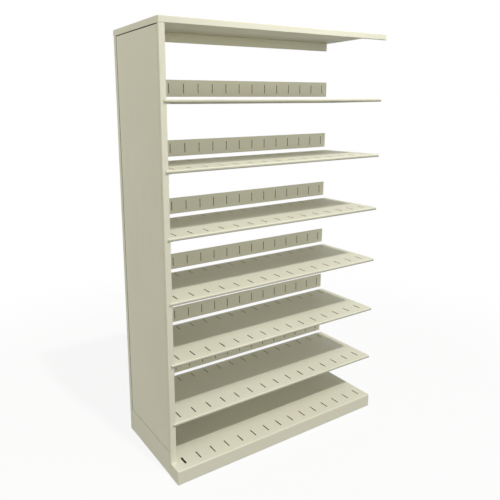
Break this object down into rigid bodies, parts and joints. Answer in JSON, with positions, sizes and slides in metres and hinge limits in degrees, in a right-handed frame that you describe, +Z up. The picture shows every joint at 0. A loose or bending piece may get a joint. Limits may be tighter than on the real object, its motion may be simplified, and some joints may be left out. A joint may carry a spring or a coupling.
{
  "type": "steel file shelving add-on unit",
  "caption": "Painted steel open file shelving add-on unit: closed upright at the left, canopy, slotted shelves with slotted backstops, and a closed base that reaches forward.",
  "frame": {"origin": "middle of the floor rectangle under the whole unit, at floor level", "axes": "+X to the right along the shelves as a person facing the open front sees them, +Y from the front to the back, +Z up"},
  "size_m": [1.2446, 0.508, 1.9368],
  "materials": {
    "paint": "satin powder coat in a light putty colour, with a fine orange peel",
    "zinc": "zinc-plated steel, dull"
  },
  "bodies": {
    "frame": {"front_post": "paint", "rear_post": "paint", "side_panel": "paint", "upright_head": "paint", "upright_foot": "paint", "post_feet": "zinc", "canopy": "paint", "canopy_rail": "paint", "bottom_shelf": "paint", "bottom_stiffener": "paint", "base_corner": "paint", "base_side": "paint", "base_rear": "paint", "base_end": "paint", "backstop_1": "paint", "backstop_2": "paint", "backstop_3": "paint", "backstop_4": "paint", "backstop_5": "paint", "backstop_6": "paint", "backstop_7": "paint", "clips_1": "zinc", "clips_2": "zinc", "clips_3": "zinc", "clips_4": "zinc", "clips_5": "zinc", "clips_6": "zinc", "canopy_bolts": "zinc", "panel_rivets": "zinc", "backstop_bolts": "zinc", "base_bolts": "zinc"},
    "shelf_1": {"shelf_1": "paint", "stiffener_1": "paint"},
    "shelf_2": {"shelf_2": "paint", "stiffener_2": "paint"},
    "shelf_3": {"shelf_3": "paint", "stiffener_3": "paint"},
    "shelf_4": {"shelf_4": "paint", "stiffener_4": "paint"},
    "shelf_5": {"shelf_5": "paint", "stiffener_5": "paint"},
    "shelf_6": {"shelf_6": "paint", "stiffener_6": "paint"}
  },
  "joints": [
    {"name": "shelf_1_lift", "type": "slide", "parent": "frame", "child": "shelf_1", "axis": [0, 0, 1], "range_m": [0, 0.018]},
    {"name": "shelf_2_lift", "type": "slide", "parent": "frame", "child": "shelf_2", "axis": [0, 0, 1], "range_m": [0, 0.018]},
    {"name": "shelf_3_lift", "type": "slide", "parent": "frame", "child": "shelf_3", "axis": [0, 0, 1], "range_m": [0, 0.018]},
    {"name": "shelf_4_lift", "type": "slide", "parent": "frame", "child": "shelf_4", "axis": [0, 0, 1], "range_m": [0, 0.018]},
    {"name": "shelf_5_lift", "type": "slide", "parent": "frame", "child": "shelf_5", "axis": [0, 0, 1], "range_m": [0, 0.018]},
    {"name": "shelf_6_lift", "type": "slide", "parent": "frame", "child": "shelf_6", "axis": [0, 0, 1], "range_m": [0, 0.018]}
  ]
}
